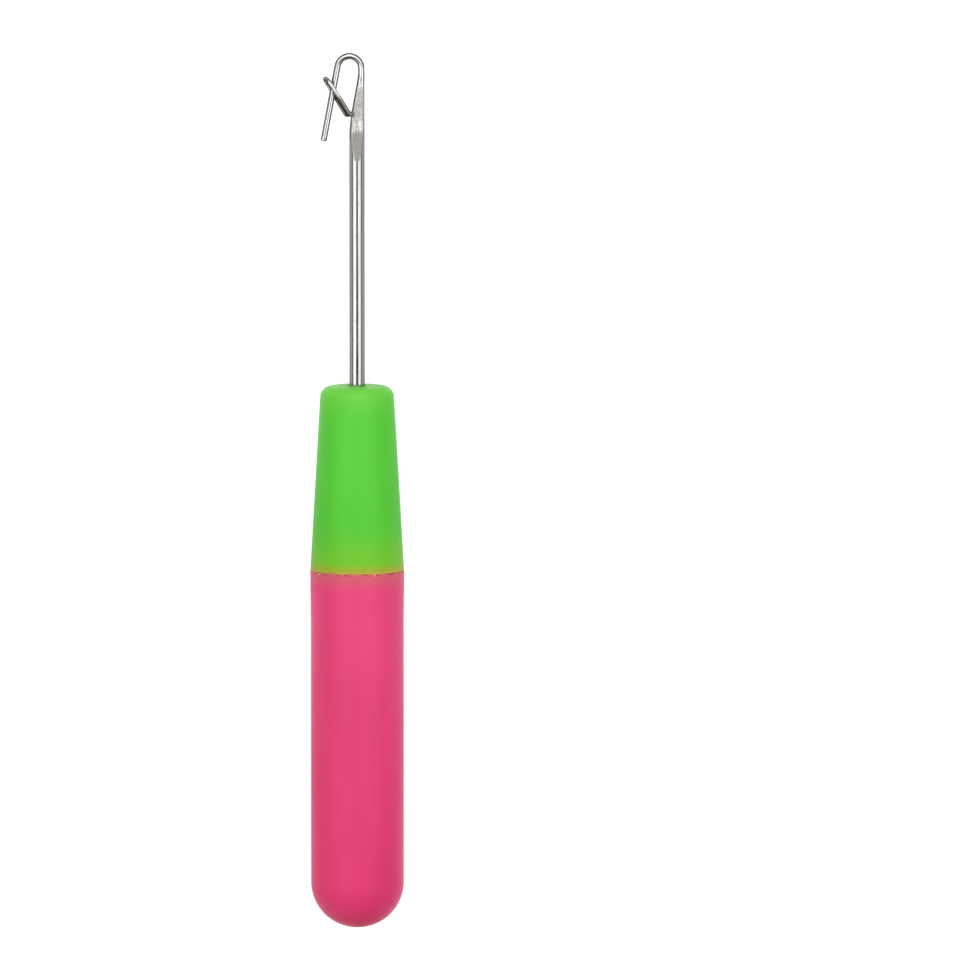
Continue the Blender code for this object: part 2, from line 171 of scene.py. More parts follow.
def turned_mesh(name, profile, is_ring, moved=still):
    """Turn a profile of (radius, y) points round the needle's axis."""
    shape = bmesh.new()
    columns = []
    for angle in spread(0, 2 * pi, TURN_STEPS):
        places = [moved(radius, y, angle) for radius, y in profile]
        columns.append([shape.verts.new((r * cos(angle), y, axis_z + r * sin(angle))) for r, y in places])
    stretch = range(len(profile) if is_ring else len(profile) - 1)
    for step, column in enumerate(columns):
        after = columns[(step + 1) % TURN_STEPS]
        for place in stretch:
            following = (place + 1) % len(profile)
            shape.faces.new((column[place], column[following], after[following], after[place]))
    bmesh.ops.remove_doubles(shape, verts=shape.verts, dist=MERGE_DISTANCE)
    bmesh.ops.recalc_face_normals(shape, faces=shape.faces)
    mesh = bpy.data.meshes.new(name)
    shape.to_mesh(mesh)
    shape.free()
    mesh.shade_smooth()
    mesh.set_sharp_from_angle(angle=SHARP_ANGLE)
    return mesh


def add_piece(name, mesh, body, node):
    """Put a finished mesh on its body, in place of the model's plainer solid."""
    piece = bpy.data.objects.new(name, mesh)
    scene.collection.objects.link(piece)
    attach(piece, body)
    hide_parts(node)
    print(name, "has", len(mesh.vertices), "points and rides on", body)
    return piece


print("round pieces are turned in", TURN_STEPS, "steps")

# %% [markdown]
# ## The pink grip
# The grip is a straight tube with a domed tail. It swells by a few hundredths of a millimetre
# towards its rim, where the mould was closed against the green cap, and the rim's edge stands
# just proud of the cap. The rim wavers slightly, as the edge of an overmoulded part does.

# %% Make the grip
GRIP_SLIMMER_THAN_RIM = 0.07 * MM
RIM_SWELL_LENGTH = 7.5 * MM
DOME_LENGTH = 6.2 * MM
GRIP_EDGE = 0.045 * MM
SPIGOT_RADIUS = 4.2 * MM
SPIGOT_ROOM = 0.1 * MM
RIM_WAVER = 0.018 * MM
WAVER_DEPTH = 0.5 * MM
FINE_WAVER_SHARE = 0.6
EDGE_STEPS = 6
SWELL_STEPS = 24
DOME_STEPS = 48

grip_radius = rim_radius - GRIP_SLIMMER_THAN_RIM


def grip_profile():
    """From inside the mouth, over the rim, down the side and round the dome."""
    profile = [(SPIGOT_RADIUS + SPIGOT_ROOM, spigot_y), (SPIGOT_RADIUS + SPIGOT_ROOM, seam_y)]
    profile += arc((rim_radius - GRIP_EDGE, seam_y - GRIP_EDGE), GRIP_EDGE, pi / 2, 0, EDGE_STEPS)
    for share in spread(0, 1, SWELL_STEPS)[1:]:
        radius = rim_radius - GRIP_SLIMMER_THAN_RIM * smooth_share(share)
        profile.append((radius, seam_y - GRIP_EDGE - RIM_SWELL_LENGTH * share))
    profile += arc((0, tail_y + DOME_LENGTH), grip_radius, 0, -pi / 2, DOME_STEPS, DOME_LENGTH)[:-1]
    return profile + [(0, tail_y)]


def wavering_rim(radius, y, angle):
    """Only the last half millimetre before the seam is pulled back, and only inwards."""
    is_outside = radius > (SPIGOT_RADIUS + rim_radius) / 2
    near_seam = smooth_share(1 - (seam_y - y) / WAVER_DEPTH) if is_outside else 0
    wave = ring_noise(angle, waves=3, layer=1)
    fine = ring_noise(angle, waves=11, layer=4)
    pull = RIM_WAVER * near_seam * (abs(wave) + FINE_WAVER_SHARE * abs(fine))
    return radius - pull, y - pull


grip_mesh = turned_mesh("grip_moulding", grip_profile(), False, wavering_rim)
grip = add_piece("grip_moulding", grip_mesh, "handle", "grip")

# %% [markdown]
# ## The green front cap
# The cap is a cone with a flat front, moulded round the needle. Its front corner is well rounded
# and its back edge is nearly sharp. Where the steel leaves the plastic there is a crumb of flash,
# the thin lip that squeezes out between mould and wire, so the mouth of the bore is raised and
# uneven. Its spigot goes on into the grip, where nobody sees it.

# %% Make the front cap
CAP_FRONT_RADIUS = 4.88 * MM
CAP_SLIMMER_THAN_RIM = 0.02 * MM
CAP_CORNER = 1.45 * MM
CAP_EDGE = 0.035 * MM
CAP_SEAM_ROOM = 0.012 * MM
CAP_CORNER_STEPS = 24
SHAFT_RADIUS = 1.02 * MM
BORE_RADIUS = 1.07 * MM
FLASH_WIDTH = 0.22 * MM
FLASH_HEIGHT = 0.12 * MM
FLASH_STEPS = 10
FLASH_USUAL_SHARE = 0.55
FLASH_WAVE_SHARE = 0.9
FLASH_CRUMB_SHARE = 0.7

cap_back_radius = rim_radius - CAP_SLIMMER_THAN_RIM
cap_back_y = seam_y + CAP_SEAM_ROOM
cap_face_y = cap_front_y - FLASH_HEIGHT


def cap_profile():
    """A closed ring: up the bore, over the flash, across the front, down the cone, round the spigot."""
    slope = atan((cap_back_radius - CAP_FRONT_RADIUS) / (cap_front_y - cap_back_y))
    side_at_corner = CAP_FRONT_RADIUS + CAP_CORNER * tan(slope)
    corner = (side_at_corner - CAP_CORNER / cos(slope), cap_face_y - CAP_CORNER)
    back_corner = (cap_back_radius - CAP_EDGE, cap_back_y + CAP_EDGE)
    flash = arc((BORE_RADIUS + FLASH_WIDTH, cap_face_y), FLASH_WIDTH, pi, 0, FLASH_STEPS, FLASH_HEIGHT)
    profile = [(BORE_RADIUS, spigot_y)] + flash
    profile += arc(corner, CAP_CORNER, pi / 2, slope, CAP_CORNER_STEPS)
    profile += arc(back_corner, CAP_EDGE, slope, -pi / 2, EDGE_STEPS)
    return profile + [(SPIGOT_RADIUS, cap_back_y), (SPIGOT_RADIUS, spigot_y)]


def crumbled_flash(radius, y, angle):
    """The flash round the needle comes and goes, and elsewhere the cap stays true."""
    if y <= cap_face_y:
        return radius, y
    height = FLASH_USUAL_SHARE + FLASH_WAVE_SHARE * ring_noise(angle, waves=5, layer=2)
    height += FLASH_CRUMB_SHARE * ring_noise(angle, waves=14, layer=7)
    return radius, cap_face_y + (y - cap_face_y) * min(max(height, 0), 1)


cap_mesh = turned_mesh("front_cap_moulding", cap_profile(), True, crumbled_flash)
front_cap = add_piece("front_cap_moulding", cap_mesh, "handle", "front_cap")

# %% [markdown]
# ## The needle's sections
# The needle is one steel wire. Its shaft is round. Near the tip a press squeezes it between two
# flats that rise along a ramp, one edge slants in, and the rest runs out into a thinner round
# wire. Sculpting that would be guesswork. A loft does it exactly: every place along the wire has
# a section with the same number of points, so the sections can be skinned. One rule draws them
# all: the section is as high as the lowest of the round shaft, the press and its rounded edges.
# Where both edges are rounded as far as the middle, the same rule gives the round wire.

# %% Sections of the needle
HOOK_WIRE_RADIUS = 0.43 * MM
BLADE_HALF_THICKNESS = 0.42 * MM
BLADE_FLAT_LENGTH = 9.2 * MM
BLADE_RAMP_LENGTH = 5.3 * MM
BLADE_NECK_LENGTH = 2.9 * MM
BLADE_TAPER_LENGTH = 7.6 * MM
BLADE_BELLY_SHARE = 0.55
LEFT_EDGE_ROUNDING = 0.40 * MM
RIGHT_EDGE_ROUNDING = 0.22 * MM
PRESS_START = 2.9 * MM
PRESS_FADE = 2.6 * MM
EAR_SWELL = 0.17 * MM
EAR_HALF_LENGTH = 0.60 * MM
EAR_SHARPENING = 0.5
RAMP_SHOULDER = 0.15 * MM
PRESSED_ABOVE_SHARE = 0.998
SECTION_STEPS = 68
SOFTENING_PASSES = 9


def ear(below_tip):
    """1 at the latch's eye, fading to 0 on both sides of it."""
    place = min(abs(tip_y - below_tip - latch_pivot.y) / EAR_HALF_LENGTH, 1)
    return (1 - place * place) ** 2


def left_edge(below_tip):
    """The blade's edge towards the leg: it slants out from the wire's width and swells at the eye."""
    neck = SHAFT_RADIUS - 2 * HOOK_WIRE_RADIUS
    share = min(max((below_tip - BLADE_NECK_LENGTH) / BLADE_TAPER_LENGTH, 0), 1)
    share += BLADE_BELLY_SHARE * share * share * (1 - share)
    return neck - (SHAFT_RADIUS + neck) * share - EAR_SWELL * ear(below_tip)


def rounded_to(pressed, rounding):
    """An edge's rounding: the whole wire where nothing is pressed, and its own further down."""
    return HOOK_WIRE_RADIUS + (rounding - HOOK_WIRE_RADIUS) * pressed


def edge_height(inwards, rounding, thickness):
    """How high a rounded edge is, this far in from it."""
    if inwards >= rounding:
        return thickness
    return thickness * sqrt(max(1 - (1 - inwards / rounding) ** 2, 0))


def straight_section(below_tip):
    """The section as (x, z, pressed) points, half a turn over the top and half a turn below."""
    pressed = smooth_share((below_tip - PRESS_START) / PRESS_FADE)
    rise = min(max((below_tip - BLADE_FLAT_LENGTH) / BLADE_RAMP_LENGTH, 0), 1)
    flat = rounded_to(pressed, BLADE_HALF_THICKNESS)
    thickness = flat + (SHAFT_RADIUS - flat) * rise
    left = max(left_edge(below_tip), -SHAFT_RADIUS)
    left_rounding = rounded_to(pressed, LEFT_EDGE_ROUNDING) * (1 - EAR_SHARPENING * ear(below_tip))
    right_rounding = rounded_to(pressed, RIGHT_EDGE_ROUNDING)
    top = []
    for angle in spread(0, pi, SECTION_STEPS) + [pi]:
        x = (SHAFT_RADIUS + left) / 2 + (SHAFT_RADIUS - left) / 2 * cos(angle)
        under_right = edge_height(SHAFT_RADIUS - x, right_rounding, thickness)
        under_left = edge_height(x - left, left_rounding, thickness)
        height = min(under_right, under_left, sqrt(max(SHAFT_RADIUS ** 2 - x ** 2, 0)))
        is_flat = height > PRESSED_ABOVE_SHARE * thickness and rise < 1
        top.append((x, height, pressed if is_flat else 0))
    return softened(top + [(x, -z, mark) for x, z, mark in top[-2:0:-1]])


def softened(section):
    """Round the section's corners a little by moving each point towards its neighbours."""
    for step in range(SOFTENING_PASSES):
        before = section[-1:] + section[:-1]
        after = section[1:] + section[:1]
        section = [
            tuple((a + 2 * b + c) / 4 for a, b, c in zip(near, point, far))
            for near, point, far in zip(before, section, after)
        ]
    return section


print("each section of the needle has", len(straight_section(BLADE_FLAT_LENGTH)), "points")

# %% [markdown]
# ## The hook and its leg
# Past the blade the wire bends round into the hook and comes back as a straight leg that leans
# outwards. The bend is an arc, so its sections stand square to the arc, turned step by step about
# its centre. The leg's end is cut and only slightly rounded, as the real one is. Each point also
# carries a painted tone: a painted highlight along the top of the hook's wire, and painted shade
# along its sides.

# %% Lay the sections along the needle
HOOK_BEND_RADIUS = 1.60 * MM
LEG_LEAN = radians(10.6)
LEG_REACH = 11.83 * MM
LEG_END_RADIUS = 0.41 * MM
LEG_END_ROUNDING = 0.16 * MM
TOP_HIGHLIGHT_TONE = 1.38
SIDE_SHADE_TONE = 0.42
SIDE_SHADE_START = 0.55
SIDE_SHADE_FADE = 0.30
HOOK_LIGHT_END = 5.5 * MM
HOOK_LIGHT_FADE = 2.5 * MM
SHAFT_STEPS = 30
SHOULDER_STEPS = 3
RAMP_STEPS = 64
BLADE_STEPS = 110
BEND_STEPS = 72
LEG_STEPS = 16
LEG_END_STEPS = 8

ramp_end = BLADE_FLAT_LENGTH + BLADE_RAMP_LENGTH
bend_y = tip_y - HOOK_BEND_RADIUS - HOOK_WIRE_RADIUS
bend_centre = Vector((SHAFT_RADIUS - HOOK_WIRE_RADIUS - HOOK_BEND_RADIUS, bend_y, axis_z))
leg_outward = Vector((-cos(LEG_LEAN), sin(LEG_LEAN), 0))
leg_along = Vector((-sin(LEG_LEAN), -cos(LEG_LEAN), 0))
leg_start = bend_centre + leg_outward * HOOK_BEND_RADIUS
leg_length = (tip_y - LEG_REACH - leg_start.y) / leg_along.y


def wire_tone(across, amount=1):
    """How bright the steel is painted: a painted highlight along the wire's top and bottom, and painted
    shade at its sides.
    """
    dullness_and_side_shade = smooth_share((across - SIDE_SHADE_START) / SIDE_SHADE_FADE)
    return 1 + amount * (TOP_HIGHLIGHT_TONE + (SIDE_SHADE_TONE - TOP_HIGHLIGHT_TONE) * dullness_and_side_shade - 1)


def straight_ring(below_tip):
    """A section of the shaft or blade, as (place, pressed, tone) points."""
    section = straight_section(below_tip)
    left, right = min(x for x, z, pressed in section), max(x for x, z, pressed in section)
    # The painted highlight and shade are full on the hook and fade out down the blade.
    on_hook = smooth_share((HOOK_LIGHT_END - below_tip) / HOOK_LIGHT_FADE)
    ring = []
    for x, z, pressed in section:
        tone = wire_tone(abs(2 * x - left - right) / (right - left), on_hook)
        ring.append((Vector((x, tip_y - below_tip, axis_z + z)), pressed, tone))
    return ring


def wire_ring(centre, outward, radius):
    """A round ring square to the hook's wire, as (place, pressed, tone) points."""
    ring = []
    for turn in spread(0, 2 * pi, 2 * SECTION_STEPS):
        place = centre + (outward * cos(turn) + Vector((0, 0, sin(turn)))) * radius
        ring.append((place, 0, wire_tone(abs(cos(turn)))))
    return ring


def leg_ring(reach, radius):
    """A round ring on the leg, at its reach from the leg's start."""
    return wire_ring(leg_start + leg_along * reach, leg_outward, radius)


def needle_rings():
    """From the tail inside the handle, up the shaft, over the blade and round the hook."""
    places = [tip_y - needle_low.y, tip_y - cap_low.y]
    places += spread(tip_y - cap_front_y, ramp_end + RAMP_SHOULDER, SHAFT_STEPS)
    places += spread(ramp_end + RAMP_SHOULDER, ramp_end, SHOULDER_STEPS)
    places += spread(ramp_end, BLADE_FLAT_LENGTH, RAMP_STEPS)
    places += spread(BLADE_FLAT_LENGTH, tip_y - bend_y, BLADE_STEPS)
    rings = [straight_ring(place) for place in places + [tip_y - bend_y]]
    for angle in spread(0, pi - LEG_LEAN, BEND_STEPS)[1:]:
        outward = Vector((cos(angle), sin(angle), 0))
        rings.append(wire_ring(bend_centre + outward * HOOK_BEND_RADIUS, outward, HOOK_WIRE_RADIUS))
    shoulder = leg_length - LEG_END_ROUNDING
    for share in spread(0, 1, LEG_STEPS):
        radius = HOOK_WIRE_RADIUS + (LEG_END_RADIUS - HOOK_WIRE_RADIUS) * share
        rings.append(leg_ring(shoulder * share, radius))
    for turn in spread(0, pi / 2, LEG_END_STEPS) + [pi / 2]:
        radius = LEG_END_RADIUS - LEG_END_ROUNDING * (1 - cos(turn))
        rings.append(leg_ring(shoulder + LEG_END_ROUNDING * sin(turn), radius))
    return rings


rings = needle_rings()
print("the needle has", len(rings), "sections, and its leg is", round(leg_length / MM, 2), "mm long")

# %% [markdown]
# Skinning joins each section to the next with a row of four-sided faces and closes both ends.
# The amount of pressing and the steel's tone go along as attributes of the mesh, one number each
# for every point. The latch's eye is then cut through the blade with a Boolean, as a drill would.

# %% Skin the needle and drill the latch's eye
LATCH_EYE_RADIUS = 0.25 * MM
DRILL_LENGTH = 2 * MM
DRILL_SIDES = 48


def note_amounts(mesh, name, amounts):
    """Keep one number for each point of a mesh, for its material to read."""
    mesh.attributes.new(name, "FLOAT", "POINT").data.foreach_set("value", amounts)


def skinned_mesh(name, rings):
    """Join each ring to the next, close both ends, and note the pressing and the tone."""
    count = len(rings[0])
    points = [place for ring in rings for place, pressed, tone in ring]
    faces = [tuple(range(count))[::-1], tuple(range(len(points) - count, len(points)))]
    for ring in range(len(rings) - 1):
        for step in range(count):
            near, far = ring * count, (ring + 1) * count
            following = (step + 1) % count
            faces.append((near + step, near + following, far + following, far + step))
    mesh = bpy.data.meshes.new(name)
    mesh.from_pydata(points, [], faces)
    note_amounts(mesh, "pressed", [pressed for ring in rings for place, pressed, tone in ring])
    note_amounts(mesh, "tone", [tone for ring in rings for place, pressed, tone in ring])
    shape = bmesh.new()
    shape.from_mesh(mesh)
    bmesh.ops.recalc_face_normals(shape, faces=shape.faces)
    shape.to_mesh(mesh)
    shape.free()
    return mesh


def drilled(mesh, centre, radius):
    """The mesh with a round hole through it along Z."""
    blank = bpy.data.objects.new("blank", mesh)
    bpy.ops.mesh.primitive_cylinder_add(
        vertices=DRILL_SIDES, radius=radius, depth=DRILL_LENGTH, location=centre
    )
    drill = bpy.context.object
    scene.collection.objects.link(blank)
    hole = blank.modifiers.new("hole", "BOOLEAN")
    hole.operation = "DIFFERENCE"
    hole.solver = "EXACT"
    hole.object = drill
    graph = bpy.context.evaluated_depsgraph_get()
    result = bpy.data.meshes.new_from_object(blank.evaluated_get(graph))
    bpy.data.objects.remove(blank)
    bpy.data.objects.remove(drill)
    return result


needle_mesh = drilled(skinned_mesh("needle_steel", rings), latch_pivot, LATCH_EYE_RADIUS)
needle_mesh.shade_smooth()
needle_mesh.set_sharp_from_angle(angle=SHARP_ANGLE)
needle = add_piece("needle_wire", needle_mesh, "handle", "needle")

# %% [markdown]
# ## The latch
# The latch is a closed link of thin wire, thinned where it runs through the blade's eye. Its two
# strands pass above and below the blade and the leg, and they meet in a round end. The link
# leans a little, so from above its strands lie side by side. Bent wire is easiest to draw as its
# centre line: six corners, each rounded by the bend that pliers would leave, and a curve that
# gives the line its thickness.

# %% Bend the latch
LINK_WIRE_RADIUS = 0.29 * MM
LINK_HINGE_RADIUS = 0.20 * MM
LINK_THINNING = 0.35 * MM
LINK_SIDE_ROOM = 0.18 * MM
LINK_END_ROOM = 0.12 * MM
LINK_REST_ANGLE = radians(37.2)
LINK_KNEE_ANGLE = radians(96)
LINK_KNEE_REACH = 0.62 * MM
LINK_KNEE_BEND = 0.30 * MM
LINK_KNEE_LEAN = 0.27 * MM
LINK_END_LEAN = 0.23 * MM
LINK_HINGE_BEND = 0.22 * MM
LINK_LEAST_STEP = 0.002 * MM
CORNER_STEPS = 20
LINK_ROUNDNESS = 8
STRAND_START = 0.35 * MM
STRAND_FADE = 0.4 * MM
FACING_DROP = 0.4


def along_link(angle):
    """The direction from the pivot at an angle from the needle's axis, on the leg's side."""
    return Vector((-sin(angle), cos(angle), 0))


def link_reach():
    """The link just passes outside the leg as it swings."""
    rest = along_link(LINK_REST_ANGLE)
    leg_corner = leg_start + leg_along * leg_length + leg_outward * LEG_END_RADIUS - latch_pivot
    leg_side = leg_start + leg_outward * HOOK_WIRE_RADIUS - latch_pivot
    to_side = leg_side.dot(leg_outward) / rest.dot(leg_outward)
    return max(leg_corner.length, to_side) + LINK_END_ROOM + LINK_WIRE_RADIUS


def link_corners():
    """Six sharp corners, seen from the pivot; the upper strand leans one way, the lower the other."""
    up = Vector((0, 0, HOOK_WIRE_RADIUS + LINK_SIDE_ROOM + LINK_WIRE_RADIUS))
    across = along_link(LINK_REST_ANGLE - pi / 2)
    end, end_up = along_link(LINK_REST_ANGLE) * link_reach(), up + across * LINK_END_LEAN
    knee, knee_up = along_link(LINK_KNEE_ANGLE) * LINK_KNEE_REACH, up + across * LINK_KNEE_LEAN
    upper = [(up, LINK_HINGE_BEND), (knee + knee_up, LINK_KNEE_BEND), (end + end_up, up.z)]
    lower = [(end - end_up, up.z), (knee - knee_up, LINK_KNEE_BEND), (-up, LINK_HINGE_BEND)]
    return upper + lower


def bent_corner(before, corner, after, radius):
    """The arc that rounds one corner of the wire."""
    back, ahead = (before - corner).normalized(), (after - corner).normalized()
    half_angle = back.angle(ahead) / 2
    centre = corner + (back + ahead).normalized() * (radius / sin(half_angle))
    start = corner + back * (radius / tan(half_angle)) - centre
    end = corner + ahead * (radius / tan(half_angle)) - centre
    sweep = start.angle(end)
    turns = spread(0, sweep, CORNER_STEPS) + [sweep]
    return [centre + (start * sin(sweep - turn) + end * sin(turn)) / sin(sweep) for turn in turns]


def link_path():
    """The link's centre line, corner by corner, without points that fall together."""
    corners = link_corners()
    path = []
    for step, (corner, radius) in enumerate(corners):
        after = corners[(step + 1) % len(corners)][0]
        path += bent_corner(corners[step - 1][0], corner, after, radius)
    return [point for step, point in enumerate(path) if (point - path[step - 1]).length > LINK_LEAST_STEP]


def link_thickness(place):
    """The wire's radius, which is thinned where it bends into the eye."""
    share = smooth_share((hypot(place.x, place.y) - LINK_HINGE_RADIUS) / LINK_THINNING)
    return LINK_HINGE_RADIUS + (LINK_WIRE_RADIUS - LINK_HINGE_RADIUS) * share


def facing_other_strand(offset, place):
    """1 on the side of a strand that faces the other one, and 0 on its far side."""
    side = 1 if place.z > 0 else -1
    inwards = along_link(LINK_REST_ANGLE - pi / 2) * -side + Vector((0, 0, -FACING_DROP * side))
    along_strand = smooth_share((abs(place.z) - STRAND_START) / STRAND_FADE)
    return along_strand * max(offset.normalized().dot(inwards.normalized()), 0)


def wire_mesh(name, path):
    """A closed wire along a path, as a mesh that knows where its two strands face each other."""
    curve = bpy.data.curves.new(name, "CURVE")
    curve.dimensions = "3D"
    curve.bevel_depth = LINK_WIRE_RADIUS
    curve.bevel_resolution = LINK_ROUNDNESS
    spline = curve.splines.new("POLY")
    spline.points.add(len(path) - 1)
    for point, place in zip(spline.points, path):
        point.co = (*(latch_pivot + place), 1)
        point.radius = link_thickness(place) / LINK_WIRE_RADIUS
    spline.use_cyclic_u = True
    wire = bpy.data.objects.new(name, curve)
    scene.collection.objects.link(wire)
    graph = bpy.context.evaluated_depsgraph_get()
    mesh = bpy.data.meshes.new_from_object(wire.evaluated_get(graph))
    bpy.data.objects.remove(wire)
    line = KDTree(len(path))
    for step, place in enumerate(path):
        line.insert(latch_pivot + place, step)
    line.balance()
    amounts = []
    for vertex in mesh.vertices:
        centre, step, distance = line.find(vertex.co)
        amounts.append(facing_other_strand(vertex.co - centre, path[step]))
    # The facing amount marks where the latch's material paints shade into the slot between the strands.
    note_amounts(mesh, "facing", amounts)
    mesh.shade_smooth()
    return mesh


latch = add_piece("latch_link", wire_mesh("latch_link", link_path()), "latch", "latch")

# %% [markdown]
# ## Shared finishes
# Both plastics come out of the same kind of mould, and both wires off the same kind of drawing
# bench, so each pair shares an effect. A node group holds it once, with named sockets, and each
# material sets its own values. The groups put out colours and numbers only, and the shader stays
# in the material.

# %% Helpers for node groups and materials


def colour(red, green, blue):
    """A colour given in the 0 to 255 steps of a screen, as the linear values that a shader wants."""
    steps = [part / 255 for part in (red, green, blue)]
    linear = [s / 12.92 if s <= 0.04045 else ((s + 0.055) / 1.055) ** 2.4 for s in steps]
    return (*linear, 1)


def feed(tree, socket, value):
    """Give a socket a plain value, or link it to the socket that makes the value."""
    if isinstance(value, bpy.types.NodeSocket):
        tree.links.new(value, socket)
    else:
        socket.default_value = value


def add_node(tree, kind, **values):
    """A node with, by socket name, its values or the sockets that feed it."""
    node = tree.nodes.new(kind)
    for name, value in values.items():
        feed(tree, node.inputs[name], value)
    return node


def noted_amount(tree, name):
    """The number that the mesh keeps under this name, at each point of the surface."""
    node = tree.nodes.new("ShaderNodeAttribute")
    node.attribute_name = name
    return node.outputs["Fac"]


def maths(tree, operation, first, second=0.0):
    """One Math node; each side is a number or a socket."""
    node = tree.nodes.new("ShaderNodeMath")
    node.operation = operation
    feed(tree, node.inputs[0], first)
    feed(tree, node.inputs[1], second)
    return node.outputs[0]


def fade(tree, value, start, end, low=0.0, high=1.0):
    """A value that goes smoothly from low at start to high at end."""
    node = tree.nodes.new("ShaderNodeMapRange")
    node.interpolation_type = "SMOOTHSTEP"
    tree.links.new(value, node.inputs["Value"])
    for name, number in (("From Min", start), ("From Max", end), ("To Min", low), ("To Max", high)):
        node.inputs[name].default_value = number
    return node.outputs["Result"]


def mixed(tree, share, first, second, blend="MIX"):
    """Two colours mixed by a share; each is a colour or a socket."""
    node = tree.nodes.new("ShaderNodeMix")
    node.data_type = "RGBA"
    node.blend_type = blend
    for socket, value in ((node.inputs[0], share), (node.inputs[6], first), (node.inputs[7], second)):
        feed(tree, socket, value)
    return node.outputs[2]


def new_group(name, inputs, outputs):
    """A node group with named sockets, and its two end nodes."""
    tree = bpy.data.node_groups.new(name, "ShaderNodeTree")
    for socket, kind, value in inputs:
        tree.interface.new_socket(socket, in_out="INPUT", socket_type=kind).default_value = value
    for socket, kind in outputs:
        tree.interface.new_socket(socket, in_out="OUTPUT", socket_type=kind)
    return tree, tree.nodes.new("NodeGroupInput").outputs, tree.nodes.new("NodeGroupOutput").inputs


def placed(tree, scale):
    """Where a point is on its piece, stretched by a scale along each axis."""
    place = tree.nodes.new("ShaderNodeTexCoord")
    return add_node(tree, "ShaderNodeMapping", Vector=place.outputs["Object"], Scale=scale).outputs[0]


def fine_noise(tree, scale, detail, roughness):
    """Noise from 0 to 1, stretched by a scale along each axis."""
    place = placed(tree, scale)
    node = add_node(tree, "ShaderNodeTexNoise", Vector=place, Scale=1, Detail=detail, Roughness=roughness)
    return node.outputs["Fac"]


def scattered_cells(tree, scale):
    """How far a point is from the middle of its cell, and one random share for the whole cell."""
    cells = add_node(tree, "ShaderNodeTexVoronoi", Vector=placed(tree, scale), Scale=1)
    chosen = add_node(tree, "ShaderNodeSeparateColor", Color=cells.outputs["Color"]).outputs[0]
    return cells.outputs["Distance"], chosen


def shaded(tree, base, shade):
    """A base colour made lighter and darker by one number."""
    grey = add_node(tree, "ShaderNodeCombineColor", Red=shade, Green=shade, Blue=shade).outputs[0]
    return mixed(tree, 1.0, base, grey, "MULTIPLY")


print("a mid grey of 128 is", round(colour(128, 128, 128)[0], 3), "in linear light")

# %% [markdown]
# ### Moulded skin
# Moulded plastic looks even, but it isn't: the pigment drifts a little along the flow, the mould
# leaves a faint orange peel, and handling leaves a few fine scratches and specks of dust. Three
# noises at three scales and a scatter of small cells do that, each so weak that one only notices
# when it is missing.

# %% The moulded skin group
SPECK_SIZE = 0.055
SPECK_STRENGTH = 0.45
SPECK_HEIGHT = 1.2
SCRATCH_DULLNESS = 0.10
SCRATCH_DEPTH = 0.25


def make_moulded_skin():
    """The group: colours and a gloss go in; an uneven colour, a roughness and a height come out."""
    tree, given, result = new_group(
        "moulded_skin",
        [
            ("Colour", "NodeSocketColor", (1, 1, 1, 1)),
            ("Drift Colour", "NodeSocketColor", (1, 1, 1, 1)),
            ("Speck Colour", "NodeSocketColor", (1, 1, 1, 1)),
            ("Gloss", "NodeSocketFloat", 0.3),
        ],
        [("Colour", "NodeSocketColor"), ("Roughness", "NodeSocketFloat"), ("Height", "NodeSocketFloat")],
    )
    drift = fine_noise(tree, (160, 45, 160), 3, 0.5)
    base = mixed(tree, fade(tree, drift, 0.38, 0.68), given["Colour"], given["Drift Colour"])
    distance, chosen = scattered_cells(tree, (330, 230, 330))
    speck = maths(tree, "LESS_THAN", distance, fade(tree, chosen, 0.80, 1.0, 0.0, SPECK_SIZE))
    base = mixed(tree, maths(tree, "MULTIPLY", speck, SPECK_STRENGTH), base, given["Speck Colour"])
    peel = fine_noise(tree, (1500, 1100, 1500), 2, 0.55)
    scratch = fade(tree, fine_noise(tree, (900, 90, 2300), 4, 0.7), 0.62, 0.72)
    roughness = maths(tree, "ADD", given["Gloss"], fade(tree, drift, 0.3, 0.7, -0.03, 0.04))
    roughness = maths(tree, "ADD", roughness, maths(tree, "MULTIPLY", scratch, SCRATCH_DULLNESS))
    height = maths(tree, "SUBTRACT", peel, maths(tree, "MULTIPLY", scratch, SCRATCH_DEPTH))
    height = maths(tree, "ADD", height, maths(tree, "MULTIPLY", speck, SPECK_HEIGHT))
    tree.links.new(base, result["Colour"])
    tree.links.new(roughness, result["Roughness"])
    tree.links.new(height, result["Height"])
    return tree


moulded_skin = make_moulded_skin()
print("moulded skin has", len(moulded_skin.nodes), "nodes")

# %% [markdown]
# ### Drawn wire
# Wire is pulled through a die, which leaves fine lines along its length, and plating leaves small
# pits. Long stretched noise makes the lines, and small cells make the pits, in patches. Both
# change how bright and how sharp the steel shines, and a height lets a bump follow them.

# %% The drawn wire group
PIT_DARKNESS = 0.45
PIT_DULLNESS = 0.3
PATCH_DULLNESS = 0.10


